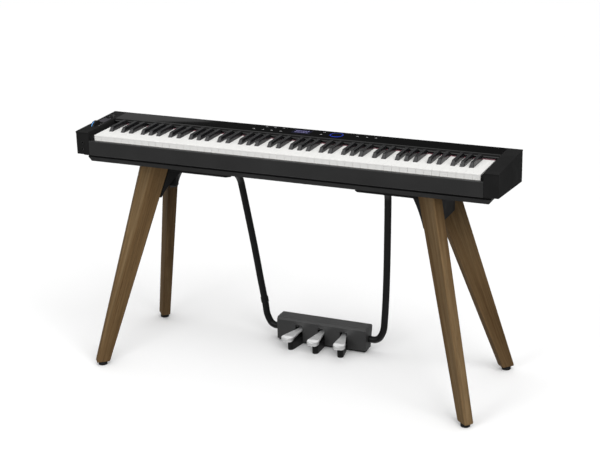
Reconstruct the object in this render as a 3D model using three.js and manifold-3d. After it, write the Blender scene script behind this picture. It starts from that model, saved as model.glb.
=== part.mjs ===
// A slim digital piano with 88 keys on a stand of four splayed wooden legs, with a unit of three pedals.
// Millimetres, +Z up, +Y away from the player, X along the keyboard. The origin is on the floor under the
// middle of the whole object.

import * as THREE from 'three';
import { mergeVertices } from 'three/addons/utils/BufferGeometryUtils.js';
import Module from 'manifold-3d';

const wasm = await Module();
wasm.setup();

// ---------------------------------------------------------------- driving dimensions
const GAP = 0.4;               // clearance between pieces that touch

// Piano body. Its own frame has Y = 0 at the front face and Z = 0 at the lower front edge of the blocks.
const WIDTH = 1340;            // over the two end blocks
const DEPTH = 241.6;           // front face to rear face
const BODY_FRONT = -158.5;     // front face of the body, from the origin
const BODY_LIFT = 677.2;       // lower front edge of the end blocks above the floor
const TOP_FRONT = 71.5;        // top of the body at its front
const TOP_REAR = 75.2;         // top of the body at its rear
const CASE_FLOOR = -26.6;      // flat underside of the case
const WALL = 3;                // moulded wall thickness
const BLOCK_INNER = 626;       // inner face of an end block, from the middle
const BLOCK_RISE = 21.7;       // how much lower the blocks reach at the rear than at the front
const RAIL_TOP = 44.3;         // top of the front rail
const RAIL_DEPTH = 12;
const PANEL_FRONT = 158;       // where the glossy panel starts behind the keys

// Keyboard
const WHITE_KEYS = 52;
const PITCH = 23.58;           // from one white key to the next
const KEY_TOP = 60.5;          // top of the white keys
const KEY_FRONT = 14.8;        // front face of the white keys
const KEY_BACK = 156.5;        // where the white key tops end, in front of the felt
const SHARP_FRONT = 68.5;      // foot of the black keys' front slope
const SHARP_RAKE = 11;         // how far that slope leans back
const SHARP_TOP = 74.2;        // top of the black keys at their front
const SHARP_REAR = 75.2;       // and at their rear
const SHARP_FOOT = 6.85;       // half width of a black key at the level of the white ones
const SHARP_CROWN = 4.9;       // half width of its top
const NOTCH = 7.6;             // half width of the notch that a white key leaves for a black one
const SHARP_SHIFT = { 1: -2.6, 3: 2.6, 6: -3.7, 8: 0, 10: 3.7 };

// Fittings of the body, in its own frame
const FRAME_HALF = 612;        // half length of the key frame
const SPEAKER = { x: 500, y: 126 };
const DISPLAY = { x0: -33, x1: 26, y0: 192, y1: 226 };
const RING = { x: 108.3, y: 210, radius: 19.5 };             // lit ring of the touch controller
const JACKS = { x0: -560, x1: -380, z0: 10, z1: 44 };        // plate of sockets in the rear wall
const WHEEL = { x: -649, y: 86, z: 59, radius: 26, slotHalf: 25 };
const KNOBS = [[-656, 168], [-641, 168]];
const POWER = { x: -650, y: 203 };
const JACK_X = -648;           // the two headphone jacks, one above the other
const JACK_HEIGHTS = [36.5, 15.5];

// Stand. Heights are above the floor.
const LEG_TOP = 647;
const LEG_FOOT = 12;
const LEG_THICK = 30;
const LEG_WIDE = 88.6;         // width of a leg at its top
const LEG_NARROW = 42.4;       // width of a leg at its foot
const LEG_TURN = 43;           // degrees from the X axis to the plane that a leg splays in
const FRONT_LEG = { top: [442.9, -76.3], foot: [601.5, -207.8] };
const REAR_LEG = { top: [443.5, 29.6], foot: [603.5, 207.8] };
const BRACKET_TOP = 650.2;
const BRACKET_BOTTOM = 616.2;
const HUB_BOTTOM = 563;
const BRACKET_Y = -22.5;       // middle of the brackets, front to rear
const PIPE_RADIUS = 11;

// Pedal unit
const PEDAL_SPACING = 71.4;    // from one pedal to the next, along the hinge shaft
const PEDAL_SPLAY = 10;        // degrees that the outer pedals turn outwards
const BOX_HALF = 155.5;
const BOX_FRONT = 156.4;
const BOX_REAR = 216.4;
const BOX_TOP = 84;
const BOX_BOTTOM = 9;
const PEDAL_AXIS = { y: 194, z: 47 };

// ---------------------------------------------------------------- materials
const colour = (hex, roughness, metalness = 0) =>
  new THREE.MeshStandardMaterial({ color: hex, roughness, metalness });
const satinBlack = colour(0x26262a, 0.5);
const caseBlack = colour(0x1c1c1f, 0.6);
const glossBlack = colour(0x101013, 0.08);
const keyWhite = colour(0xf0eee8, 0.3);
const keyBlack = colour(0x2c2c30, 0.45);
const walnut = colour(0x6b4a31, 0.55);
const chrome = colour(0xd8d8da, 0.12, 1);
const castBlack = colour(0x2a2a2c, 0.5);
const redFelt = colour(0x8a1c34, 0.95);
const frameGrey = colour(0x55585c, 0.6);
const boardGreen = colour(0x1f5a3a, 0.6);
const speakerGrey = colour(0x3a3a3c, 0.7);
const displayBlue = colour(0x222a66, 0.15);
const lightBlue = colour(0x3355ff, 0.3);
const rubber = colour(0x151515, 0.9);

// ---------------------------------------------------------------- shape helpers
function solid(geometry) {
  const bare = geometry.clone();
  bare.deleteAttribute('normal');
  bare.deleteAttribute('uv');
  const merged = mergeVertices(bare, 1e-4);
  return new wasm.Manifold(new wasm.Mesh({
    numProp: 3,
    vertProperties: new Float32Array(merged.attributes.position.array),
    triVerts: new Uint32Array(merged.index.array),
  }));
}

function geometryOf(shape) {
  const mesh = shape.getMesh();
  const geometry = new THREE.BufferGeometry();
  geometry.setAttribute('position', new THREE.BufferAttribute(mesh.vertProperties, 3));
  geometry.setIndex(new THREE.BufferAttribute(mesh.triVerts, 1));
  geometry.computeVertexNormals();
  return geometry;
}

function join(first, ...others) {
  return others.reduce((whole, piece) => whole.add(piece), first);
}

function cut(first, ...others) {
  return others.reduce((whole, piece) => whole.subtract(piece), first);
}

function block([x0, x1], [y0, y1], [z0, z1]) {
  const box = new THREE.BoxGeometry(x1 - x0, y1 - y0, z1 - z0);
  return solid(box.translate((x0 + x1) / 2, (y0 + y1) / 2, (z0 + z1) / 2));
}

function shapeOf(outline) {
  return outline instanceof THREE.Shape ? outline
    : new THREE.Shape(outline.map(([a, b]) => new THREE.Vector2(a, b)));
}

// An outline in plan, raised from z0 to z1.
function raised(outline, z0, z1, curveSegments = 8) {
  const settings = { depth: z1 - z0, bevelEnabled: false, curveSegments };
  return new THREE.ExtrudeGeometry(shapeOf(outline), settings).translate(0, 0, z0);
}

// A side profile given as (Y, Z), drawn out along X from x0 to x1.
function drawnAlongX(outline, x0, x1, curveSegments = 6) {
  const [x, y, z] = [new THREE.Vector3(1, 0, 0), new THREE.Vector3(0, 1, 0), new THREE.Vector3(0, 0, 1)];
  const geometry = raised(outline, 0, x1 - x0, curveSegments);
  geometry.applyMatrix4(new THREE.Matrix4().makeBasis(y, z, x));
  return solid(geometry.translate(x0, 0, 0));
}

// A front profile given as (X, Z), drawn out along Y from y0 to y1.
function drawnAlongY(outline, y0, y1) {
  const geometry = raised(outline, 0, y1 - y0);
  geometry.rotateX(Math.PI / 2);
  return solid(geometry.translate(0, y1, 0));
}

function rod(radius, [x, y, z], length, axis, sides = 20) {
  const cylinder = new THREE.CylinderGeometry(radius, radius, length, sides);
  if (axis === 'x') cylinder.rotateZ(Math.PI / 2);
  if (axis === 'z') cylinder.rotateX(Math.PI / 2);
  return solid(cylinder.translate(x, y, z));
}

function ring(outer, inner, [x, y, z], length, axis, sides = 24) {
  return cut(rod(outer, [x, y, z], length, axis, sides), rod(inner, [x, y, z], length + 2, axis, sides));
}

function mirrored(shape) {
  return shape.scale([-1, 1, 1]);
}

function add(group, name, shape, material) {
  const mesh = new THREE.Mesh(geometryOf(shape), material);
  mesh.name = name;
  group.add(mesh);
}

// ---------------------------------------------------------------- piano body
const topAt = (y) => TOP_FRONT + (TOP_REAR - TOP_FRONT) * y / DEPTH;
const blockBottomAt = (y) => -BLOCK_RISE * y / DEPTH;

// Tray with a flange under the rail, a groove below it, a chamfered front and chamfered ends.
function bottomCase() {
  const outer = [[4, -GAP], [4, -2.4], [22, -2.4], [24, -9], [19, -12], [25.5, CASE_FLOOR],
    [225, CASE_FLOOR], [DEPTH, -14], [DEPTH, 70], [4, 70]];
  const [floorEnd, topEnd] = [635.5, 648];
  const ends = [[-floorEnd, CASE_FLOOR], [floorEnd, CASE_FLOOR], [topEnd, 0], [topEnd, 70],
    [-topEnd, 70], [-topEnd, 0]];
  const tray = drawnAlongX(outer, -topEnd, topEnd).intersect(drawnAlongY(ends, 0, DEPTH + 5));
  const inside = [[32.5, CASE_FLOOR + WALL], [225, CASE_FLOOR + WALL],
    [DEPTH - WALL, -12], [DEPTH - WALL, 90], [-5, 90], [-5, -GAP], [27, -GAP], [27, -12]];
  const hollow = drawnAlongX(inside, -BLOCK_INNER + WALL, BLOCK_INNER - WALL);
  const overBlocks = [[-5, blockBottomAt(-5) - GAP], [DEPTH + 5, blockBottomAt(DEPTH + 5) - GAP],
    [DEPTH + 5, 90], [-5, 90]];
  const railSpace = block([-700, 700], [-1, RAIL_DEPTH + GAP], [-GAP, 90]);
  const overSides = block([-700, 700], [-1, DEPTH - WALL], [20, 90]);
  const shell = cut(tray, hollow, railSpace, overSides,
    drawnAlongX(overBlocks, BLOCK_INNER - GAP, 700), drawnAlongX(overBlocks, -700, -BLOCK_INNER + GAP),
    block([JACKS.x0, JACKS.x1], [DEPTH - 8, DEPTH + 2], [JACKS.z0, JACKS.z1]));
  return cut(shell, ...speakerSlots());
}

// Long slots in the floor of the case under each speaker.
function speakerSlots() {
  const slots = [];
  for (const side of [-1, 1]) {
    for (let i = -2; i <= 2; i++) {
      const y = SPEAKER.y + i * 13;
      const half = 52 - 6 * Math.abs(i);
      slots.push(block([side * SPEAKER.x - half, side * SPEAKER.x + half], [y - 2.5, y + 2.5],
        [CASE_FLOOR - 2, CASE_FLOOR + WALL + 2]));
    }
  }
  return slots;
}

// Glossy top cover: a rounded fall behind the keys, a level top and a short skirt at the rear.
function touchPanel() {
  const skin = 2.5;
  const top = new THREE.Shape();
  top.moveTo(PANEL_FRONT, 66.2);
  top.quadraticCurveTo(PANEL_FRONT + 0.8, topAt(171) - 0.6, PANEL_FRONT + 14, topAt(172));
  top.lineTo(DEPTH - 3, topAt(DEPTH - 3));
  top.quadraticCurveTo(DEPTH, TOP_REAR, DEPTH, TOP_REAR - 3);
  top.lineTo(DEPTH, 70.6);
  top.lineTo(DEPTH - skin, 70.6);
  top.lineTo(DEPTH - skin, TOP_REAR - 3);
  top.lineTo(PANEL_FRONT + 14, topAt(172) - skin);
  top.quadraticCurveTo(PANEL_FRONT + 3.4, topAt(171) - skin - 1, PANEL_FRONT + 2.6, 66.2);
  const half = BLOCK_INNER - GAP;
  return cut(drawnAlongX(top, -half, half),
    block([DISPLAY.x0 - GAP, DISPLAY.x1 + GAP], [DISPLAY.y0 - GAP, DISPLAY.y1 + GAP], [60, 90]),
    ring(RING.radius + 1.5, RING.radius - 1.5, [RING.x, RING.y, topAt(RING.y)], 2.4, 'z', 28));
}

// Hollow cheek, open underneath, with a thin lip round its top and a ledge beside the keys.
function endBlock(side) {
  const lip = 3.6;
  const body = [[1.2, 1], [1.2, TOP_FRONT - lip], [DEPTH, TOP_REAR - lip], [DEPTH, blockBottomAt(DEPTH)],
    [2.2, blockBottomAt(2)]];
  const cap = [[0, TOP_FRONT - lip - 0.2], [0, TOP_FRONT - 2], [1.5, TOP_FRONT], [DEPTH - 2, TOP_REAR],
    [DEPTH, TOP_REAR - 2], [DEPTH, TOP_REAR - lip - 0.2]];
  const half = WIDTH / 2;
  const inside = [[1.2 + WALL, -90], [1.2 + WALL, TOP_FRONT - WALL - 1], [DEPTH - WALL, TOP_REAR - WALL - 1],
    [DEPTH - WALL, -90]];
  const ledge = block([BLOCK_INNER - 11.5, BLOCK_INNER + 1], [RAIL_DEPTH + 2, PANEL_FRONT - 1], [30, 58]);
  const outside = join(drawnAlongX(body, BLOCK_INNER, half - 0.8), drawnAlongX(cap, BLOCK_INNER, half),
    ledge);
  const shell = cut(outside, drawnAlongX(inside, BLOCK_INNER + WALL, half - 0.8 - WALL));
  return side > 0 ? shell : mirrored(shell);
}

function leftEndBlock() {
  const { x, y, slotHalf } = WHEEL;
  return cut(endBlock(-1),
    block([x - 7.5, x + 7.5], [y - slotHalf, y + slotHalf], [TOP_FRONT - 8, 90]),
    ...KNOBS.map(([kx, ky]) => rod(2.4, [kx, ky, 72], 20, 'z', 12)),
    block([POWER.x - 7.4, POWER.x + 7.4], [POWER.y - 3.4, POWER.y + 3.4], [60, 90]),
    ...JACK_HEIGHTS.map((z) => rod(5.4, [JACK_X, 2, z], 12, 'y', 16)));
}

// A channel, open towards the keys.
function frontRail() {
  const rail = new THREE.Shape();
  rail.moveTo(0, 0);
  rail.lineTo(0, RAIL_TOP - 2);
  rail.quadraticCurveTo(0, RAIL_TOP, 2, RAIL_TOP);
  rail.lineTo(RAIL_DEPTH, RAIL_TOP);
  rail.lineTo(RAIL_DEPTH, RAIL_TOP - 2.5);
  rail.lineTo(WALL, RAIL_TOP - 2.5);
  rail.lineTo(WALL, 2.5);
  rail.lineTo(RAIL_DEPTH, 2.5);
  rail.lineTo(RAIL_DEPTH, 0);
  return drawnAlongX(rail, -BLOCK_INNER + GAP, BLOCK_INNER - GAP);
}

function keyFelt() {
  return block([-612, 612], [KEY_BACK + 0.8, PANEL_FRONT + 14], [57, KEY_TOP + 0.6]);
}

// ---------------------------------------------------------------- inside the body
// Chassis under the keys: a plate with a front stop, and ledges for the two rows of hinges.
function keyFrame() {
  const half = FRAME_HALF;
  return join(block([-half, half], [34, 226], [12, 15]),
    block([-half, half], [34, 37], [14, 24]),
    block([-half, half], [190, 194], [14, 28]),
    block([-half, half], [186, 200], [27, 29.2]),
    block([-half, half], [222, 226], [14, 42.4]),
    block([-half, half], [208, 224], [39.5, 42.4]));
}

function contactBoard() {
  return block([-600, 600], [74, 118], [15 + GAP, 17]);
}

function mainBoard() {
  const board = block([-300, 300], [178, 232], [58, 59.6]);
  const chips = [[-210, 205, 14], [-150, 210, 9], [-60, 200, 11], [60, 205, 16], [180, 208, 10]];
  return join(board, ...chips.map(([x, y, half]) =>
    block([x - half, x + half], [y - half / 2, y + half / 2], [59, 62])));
}

// Oval speaker that faces down: rim, tapered basket and magnet.
function speaker(side) {
  const oval = (rx, ry) => new THREE.Shape().absellipse(side * SPEAKER.x, SPEAKER.y, rx, ry, 0, 2 * Math.PI);
  const floor = CASE_FLOOR + WALL + GAP;
  return join(solid(raised(oval(78, 42), floor, floor + 5, 10)),
    solid(raised(oval(60, 32), floor + 4, floor + 18, 8)),
    solid(raised(oval(30, 30), floor + 17, 10, 8)));
}

function displayWindow() {
  const { x0, x1, y0, y1 } = DISPLAY;
  const glass = drawnAlongX([[y0, 70.5], [y1, 70.5], [y1, topAt(y1)], [y0, topAt(y0)]], x0, x1);
  return join(glass, block([x0 + 4, x1 - 4], [y0 + 4, y1 - 4], [66, 71]));
}

function touchRing() {
  return ring(RING.radius + 1, RING.radius - 1, [RING.x, RING.y, topAt(RING.y) - 0.35], 1.1, 'z', 28);
}

function jackPlate() {
  const { x0, x1, z0, z1 } = JACKS;
  const plate = block([x0 + GAP, x1 - GAP], [227.5, DEPTH], [z0 + GAP, z1 - GAP]);
  const middle = (z0 + z1) / 2;
  const round = [[28, 5.5], [62, 4], [86, 4]];
  const square = [[116, 6], [146, 6]];
  return cut(plate,
    ...round.map(([dx, r]) => rod(r, [x0 + dx, DEPTH - 3, middle], 14, 'y', 16)),
    ...square.map(([dx, h]) => block([x0 + dx - h, x0 + dx + h], [DEPTH - 10, DEPTH + 1],
      [middle - 3, middle + 3])));
}

// ---------------------------------------------------------------- controls on the left block
// Sprung wheel: a rim with a finger notch at its crown, and a stub axle on each side.
function pitchWheel() {
  const { x, y, z, radius } = WHEEL;
  return cut(join(rod(radius, [x, y, z], 13, 'x', 30), rod(3, [x, y, z], 18.6, 'x', 12)),
    rod(5, [x, y, z + radius + 3.2], 20, 'x', 16));
}

// Two cheeks under the top of the block hold the wheel's axle.
function wheelBracket() {
  const { x, y, z } = WHEEL;
  const cheek = (side) => cut(
    block([x + side * 8.8 - 1.1, x + side * 8.8 + 1.1], [y - 14, y + 14], [z - 32, TOP_FRONT - 4.5]),
    rod(3.3, [x, y, z], 30, 'x', 12));
  return join(cheek(-1), cheek(1), block([x - 9.9, x + 9.9], [y - 14, y + 14], [z - 32, z - 29.5]));
}

function controlKnob([x, y]) {
  const top = topAt(y);
  return cut(join(rod(4.6, [x, y, top + 1.9], 2.8, 'z', 20), rod(2, [x, y, top - 5], 13, 'z', 12)),
    block([x - 0.5, x + 0.5], [y - 5, y - 1], [top + 2.6, top + 5]));
}

function powerButton() {
  const top = topAt(POWER.y);
  return join(block([POWER.x - 6.9, POWER.x + 6.9], [POWER.y - 2.9, POWER.y + 2.9], [top - 5, top + 1.2]),
    block([POWER.x - 2, POWER.x + 2], [POWER.y - 1.5, POWER.y + 1.5], [top - 9, top - 4]));
}

function phoneJack(z) {
  const body = join(rod(5, [JACK_X, 6, z], 10.2, 'y', 12), rod(6.6, [JACK_X, 0.7, z], 0.9, 'y', 16),
    block([JACK_X - 5, JACK_X + 5], [10.5, 22], [z - 5, z + 5]));
  return cut(body, rod(3.2, [JACK_X, 5, z], 20, 'y', 12));
}

// ---------------------------------------------------------------- keyboard
const pitchClass = (key) => (key + 9) % 12;
const isSharp = (key) => pitchClass(key) in SHARP_SHIFT;
const exists = (key) => key >= 0 && key < 88;

// The white key that a key is, or that a black key stands beside, counted from the left.
function whiteIndex(key) {
  let count = 0;
  for (let other = 0; other < key; other++) {
    if (!isSharp(other)) count++;
  }
  return count;
}

const leftEdge = (index) => (index - WHITE_KEYS / 2) * PITCH;
const sharpX = (key) => leftEdge(whiteIndex(key)) + SHARP_SHIFT[pitchClass(key)];

// A white key: a top with notches for its black neighbours, a lip down its front and a narrow tail.
function whiteKey(key) {
  const [left, right] = [leftEdge(whiteIndex(key)) + 0.45, leftEdge(whiteIndex(key) + 1) - 0.45];
  const notchFront = SHARP_FRONT - 2.2;
  const left2 = exists(key - 1) && isSharp(key - 1) ? sharpX(key - 1) + NOTCH : left;
  const right2 = exists(key + 1) && isSharp(key + 1) ? sharpX(key + 1) - NOTCH : right;
  const outline = [[left, KEY_FRONT], [right, KEY_FRONT], [right, notchFront], [right2, notchFront],
    [right2, KEY_BACK], [left2, KEY_BACK], [left2, notchFront], [left, notchFront]]
    .filter(([x, y], i, all) => i === 0 || x !== all[i - 1][0] || y !== all[i - 1][1]);
  const top = solid(raised(outline, 50, KEY_TOP));
  const lip = block([left, right], [KEY_FRONT, KEY_FRONT + 3], [40, 51]);
  const tail = block([left2 + 1, right2 - 1], [150, 218], [44, 54]);
  return join(top, lip, tail);
}

// A black key: a cap with sloping sides and front, and a tail that passes below the white tails.
function blackKey(key) {
  const x = sharpX(key);
  const skirt = block([x - SHARP_FOOT, x + SHARP_FOOT], [SHARP_FRONT, 156], [54, KEY_TOP]);
  const foot = [[-SHARP_FOOT, SHARP_FRONT], [SHARP_FOOT, SHARP_FRONT], [SHARP_FOOT, 156],
    [-SHARP_FOOT, 156]];
  const cap = raised(foot, KEY_TOP, SHARP_TOP);
  const corner = cap.attributes.position;
  for (let i = 0; i < corner.count; i++) {
    if (corner.getZ(i) > KEY_TOP + 1) {
      const atFront = corner.getY(i) < SHARP_FRONT + 1;
      corner.setX(i, corner.getX(i) * SHARP_CROWN / SHARP_FOOT);
      corner.setY(i, atFront ? SHARP_FRONT + SHARP_RAKE : 156);
      corner.setZ(i, atFront ? SHARP_TOP : SHARP_REAR);
    }
  }
  const web = block([x - 4.5, x + 4.5], [140, 156], [30, 55]);
  const tail = block([x - 4.5, x + 4.5], [150, 200], [30, 41]);
  return join(skirt, solid(cap.translate(x, 0, 0)), web, tail);
}

// Keys from first to last of one colour, joined by the rail that they are hinged on.
function whiteSection(first, last) {
  const keys = [];
  for (let key = first; key <= last; key++) {
    if (!isSharp(key)) keys.push(key);
  }
  const [x0, x1] = [leftEdge(whiteIndex(keys[0])) + 3, leftEdge(whiteIndex(keys.at(-1)) + 1) - 3];
  return join(block([x0, x1], [206, 218], [44, 54]), ...keys.map(whiteKey));
}

function blackSection(first, last) {
  const keys = [];
  for (let key = first; key <= last; key++) {
    if (isSharp(key)) keys.push(key);
  }
  return join(block([sharpX(keys[0]) - 4.5, sharpX(keys.at(-1)) + 4.5], [186, 200], [30, 41]),
    ...keys.map(blackKey));
}

// Keys are counted from 0 at the left: 39 is the C in the middle and 50 the B above it.
const SECTIONS = [['a0_b1', 0, 14], ['c2_b3', 15, 38], ['c5_b6', 51, 74], ['c7_c8', 75, 87]];
const OCTAVE = ['c4', 'c_sharp_4', 'd4', 'd_sharp_4', 'e4', 'f4', 'f_sharp_4', 'g4', 'g_sharp_4', 'a4',
  'a_sharp_4', 'b4'];

function keyboard(group) {
  for (const [name, first, last] of SECTIONS) {
    add(group, `white_keys_${name}`, whiteSection(first, last), keyWhite);
    add(group, `black_keys_${name}`, blackSection(first, last), keyBlack);
  }
  OCTAVE.forEach((name, i) => {
    const key = 39 + i;
    const shape = isSharp(key) ? blackKey(key) : whiteKey(key);
    add(group, `key_${name}`, shape, isSharp(key) ? keyBlack : keyWhite);
  });
}

// ---------------------------------------------------------------- stand
const radians = (degrees) => degrees * Math.PI / 180;
const mix = (a, b, t) => a + (b - a) * t;

// A board with bevelled edges that tapers and leans from its top to its foot.
function leg({ top, foot }, turn) {
  const [w, h, bevel] = [LEG_WIDE / 2, LEG_THICK / 2, 4];
  const section = [[-w + bevel, -h], [w - bevel, -h], [w, -h + bevel], [w, h - bevel],
    [w - bevel, h], [-w + bevel, h], [-w, h - bevel], [-w, -h + bevel]];
  const board = raised(section, 0, 1);
  const corner = board.attributes.position;
  const [c, s] = [Math.cos(radians(turn)), Math.sin(radians(turn))];
  for (let i = 0; i < corner.count; i++) {
    const t = corner.getZ(i);
    const along = corner.getX(i) * mix(LEG_NARROW / LEG_WIDE, 1, t);
    const across = corner.getY(i);
    corner.setXYZ(i, mix(foot[0], top[0], t) + along * c - across * s,
      mix(foot[1], top[1], t) + along * s + across * c, mix(LEG_FOOT, LEG_TOP, t));
  }
  return solid(board);
}

function glide({ foot: [x, y] }) {
  return rod(14.5, [x, y, (LEG_FOOT - GAP) / 2], LEG_FOOT - GAP, 'z', 18);
}

// The arch that runs from the beam down the inner edge of one leg, in the leg's own plane.
function gusset({ top, foot }, turn) {
  const [c, s] = [Math.cos(radians(turn)), Math.sin(radians(turn))];
  const lean = Math.hypot(foot[0] - top[0], foot[1] - top[1]) / (LEG_TOP - LEG_FOOT);
  const taper = (LEG_WIDE - LEG_NARROW) / 2 / (LEG_TOP - LEG_FOOT);
  const edgeAt = (z) => -(lean + taper) * (LEG_TOP - z) + LEG_WIDE / 2 + 1.5;
  const arch = new THREE.Shape();
  arch.moveTo(edgeAt(645), 645);
  arch.lineTo(edgeAt(537), 537);
  arch.lineTo(edgeAt(537) + 4, 537);
  arch.quadraticCurveTo(edgeAt(590) + 18, 592, edgeAt(BRACKET_BOTTOM) + 52, BRACKET_BOTTOM + 1);
  arch.lineTo(edgeAt(BRACKET_BOTTOM) + 52, 645);
  const plate = raised(arch, -12.5, 12.5, 8);
  const [inward, up, side] = [new THREE.Vector3(-c, -s, 0), new THREE.Vector3(0, 0, 1),
    new THREE.Vector3(-s, c, 0)];
  plate.applyMatrix4(new THREE.Matrix4().makeBasis(inward, up, side));
  return solid(plate.translate(top[0], top[1], 0));
}

// Casting under the body: a beam, a wedge between the two legs and an arch down each leg.
function bracket(side) {
  const [y, half] = [BRACKET_Y, 31];
  const beam = [[203, y - half + 10], [213, y - half], [400, y - half], [412, y - 20], [412, y + 20],
    [400, y + half], [213, y + half], [203, y + half - 10]];
  const wedge = [[400, y - 9], [430, y - 9], [484, y - 59], [484, y + 59], [430, y + 9], [400, y + 9]];
  const casting = join(solid(raised(beam, BRACKET_BOTTOM, BRACKET_TOP)),
    solid(raised(wedge, HUB_BOTTOM, BRACKET_TOP)),
    gusset(FRONT_LEG, -LEG_TURN), gusset(REAR_LEG, LEG_TURN));
  return side > 0 ? casting : mirrored(casting);
}

// A bent pipe from a flange under the body to the side of the pedal box. The left one has a collar.
function arm(side) {
  const route = [[252, 53, 646], [252, 62, 622], [250.5, 84, 592], [248, 111, 560], [244.8, 121.4, 520],
    [234.7, 143.4, 400], [226.3, 160.2, 300], [217.8, 174.1, 200], [209.5, 184.5, 120],
    [204.5, 186.5, 78], [192, 186, 51], [178, 184.4, 42], [168, 184, 41], [BOX_HALF + GAP, 184, 41]];
  const path = new THREE.CatmullRomCurve3(route.map((point) => new THREE.Vector3(...point)));
  const section = new THREE.Shape();
  for (let i = 0; i < 8; i++) {
    const angle = i * Math.PI / 4;
    const move = i === 0 ? 'moveTo' : 'lineTo';
    section[move](PIPE_RADIUS * Math.cos(angle), PIPE_RADIUS * Math.sin(angle));
  }
  const settings = { steps: 28, bevelEnabled: false, extrudePath: path };
  const pipe = solid(new THREE.ExtrudeGeometry(section, settings));
  const flange = block([228, 276], [32, 66], [645, BRACKET_TOP]);
  const collar = rod(12.6, [0, 0, 0], 18, 'z', 16).rotate([7, -6, 0]).translate([210.2, 183.3, 130]);
  return side > 0 ? join(pipe, flange) : mirrored(join(pipe, flange, collar));
}

// ---------------------------------------------------------------- pedal unit
const PEDAL_NAMES = ['left_pedal', 'middle_pedal', 'right_pedal'];
const pedalX = (index) => (index - 1) * PEDAL_SPACING;

// Turns a piece outwards about the point where its pedal meets the shaft.
function splayed(shape, index) {
  const [x, y] = [pedalX(index), PEDAL_AXIS.y];
  return shape.translate([-x, -y, 0]).rotate([0, 0, (index - 1) * PEDAL_SPLAY]).translate([x, y, 0]);
}

function pedalHousing() {
  const outer = [[BOX_FRONT, BOX_BOTTOM], [BOX_FRONT, BOX_TOP - 7], [BOX_FRONT + 7, BOX_TOP],
    [BOX_REAR - 8, BOX_TOP], [BOX_REAR, BOX_TOP - 8], [BOX_REAR - 18, BOX_BOTTOM]];
  const inner = [[BOX_FRONT + WALL, 0], [BOX_FRONT + WALL, BOX_TOP - 7 - WALL],
    [BOX_FRONT + 7 + WALL, BOX_TOP - WALL], [BOX_REAR - 8 - WALL, BOX_TOP - WALL],
    [BOX_REAR - WALL, BOX_TOP - 8 - WALL], [BOX_REAR - 20 - WALL, 0]];
  const slots = PEDAL_NAMES.map((name, i) => splayed(
    block([pedalX(i) - 12, pedalX(i) + 12], [BOX_FRONT - 6, BOX_FRONT + WALL + 6], [-5, 64]), i));
  return cut(drawnAlongX(outer, -BOX_HALF, BOX_HALF),
    drawnAlongX(inner, -BOX_HALF + WALL, BOX_HALF - WALL), ...slots);
}

// Base plate with a rest that reaches forward under each pedal, and ears for the hinge shaft.
function pedalBase() {
  const plate = block([-BOX_HALF + 4, BOX_HALF - 4], [BOX_FRONT + 4, 192], [3, 7]);
  const rests = PEDAL_NAMES.map((name, i) => {
    const rest = new THREE.Shape();
    rest.moveTo(pedalX(i) - 10, 190);
    rest.lineTo(pedalX(i) - 10, 108);
    rest.absarc(pedalX(i), 108, 10, Math.PI, 2 * Math.PI);
    rest.lineTo(pedalX(i) + 10, 190);
    return splayed(solid(raised(rest, 0, 25, 6)), i);
  });
  const ears = [-144, -48, 48, 144].map((x) =>
    cut(block([x - 3, x + 3], [180, 191], [5, 56]).add(block([x - 3, x + 3], [180, 203], [38, 56])),
      rod(4.4, [x, PEDAL_AXIS.y, PEDAL_AXIS.z], 12, 'x', 12)));
  return join(plate, ...rests, ...ears);
}

// A lever with a barrel round the shaft, a flat plate that widens to the front and a thick nose.
function pedal(index) {
  const x = pedalX(index);
  const { y: shaftY, z } = PEDAL_AXIS;
  const nose = [[-20, 91], [-17.5, 79], [-8, 70.5], [8, 70.5], [17.5, 79], [20, 91]];
  const outline = [[-10, 192], [-10, 150], ...nose, [10, 150], [10, 192]];
  const plate = solid(raised(outline, z - 4, z + 4));
  const chin = raised([[-19.6, 95], ...nose, [19.6, 95]], z - 9.5, z);
  const corner = chin.attributes.position;
  for (let i = 0; i < corner.count; i++) {
    if (corner.getZ(i) < z - 1) {
      corner.setX(i, corner.getX(i) * 0.8);
      corner.setY(i, mix(corner.getY(i), 84, 0.25));
    }
  }
  const barrel = rod(9, [x, shaftY, z], 20, 'x', 16);
  const lever = splayed(join(plate, solid(chin)).translate([x, 0, 0]), index);
  return cut(join(lever, barrel), rod(4.5, [x, shaftY, z], 30, 'x', 12));
}

// ---------------------------------------------------------------- assembly
function piano() {
  const group = new THREE.Group();
  group.position.set(0, BODY_FRONT, BODY_LIFT);
  add(group, 'bottom_case', bottomCase(), caseBlack);
  add(group, 'touch_panel', touchPanel(), glossBlack);
  add(group, 'left_end_block', leftEndBlock(), satinBlack);
  add(group, 'right_end_block', endBlock(1), satinBlack);
  add(group, 'front_rail', frontRail(), satinBlack);
  add(group, 'key_felt', keyFelt(), redFelt);
  add(group, 'key_frame', keyFrame(), frameGrey);
  add(group, 'key_contact_board', contactBoard(), boardGreen);
  add(group, 'main_board', mainBoard(), boardGreen);
  add(group, 'left_speaker', speaker(-1), speakerGrey);
  add(group, 'right_speaker', speaker(1), speakerGrey);
  add(group, 'display_window', displayWindow(), displayBlue);
  add(group, 'touch_ring', touchRing(), lightBlue);
  add(group, 'rear_jack_plate', jackPlate(), caseBlack);
  add(group, 'pitch_wheel', pitchWheel(), satinBlack);
  add(group, 'pitch_wheel_bracket', wheelBracket(), frameGrey);
  add(group, 'outer_control_knob', controlKnob(KNOBS[0]), satinBlack);
  add(group, 'inner_control_knob', controlKnob(KNOBS[1]), satinBlack);
  add(group, 'power_button', powerButton(), satinBlack);
  add(group, 'upper_phone_jack', phoneJack(JACK_HEIGHTS[0]), caseBlack);
  add(group, 'lower_phone_jack', phoneJack(JACK_HEIGHTS[1]), caseBlack);
  keyboard(group);
  return group;
}

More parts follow.
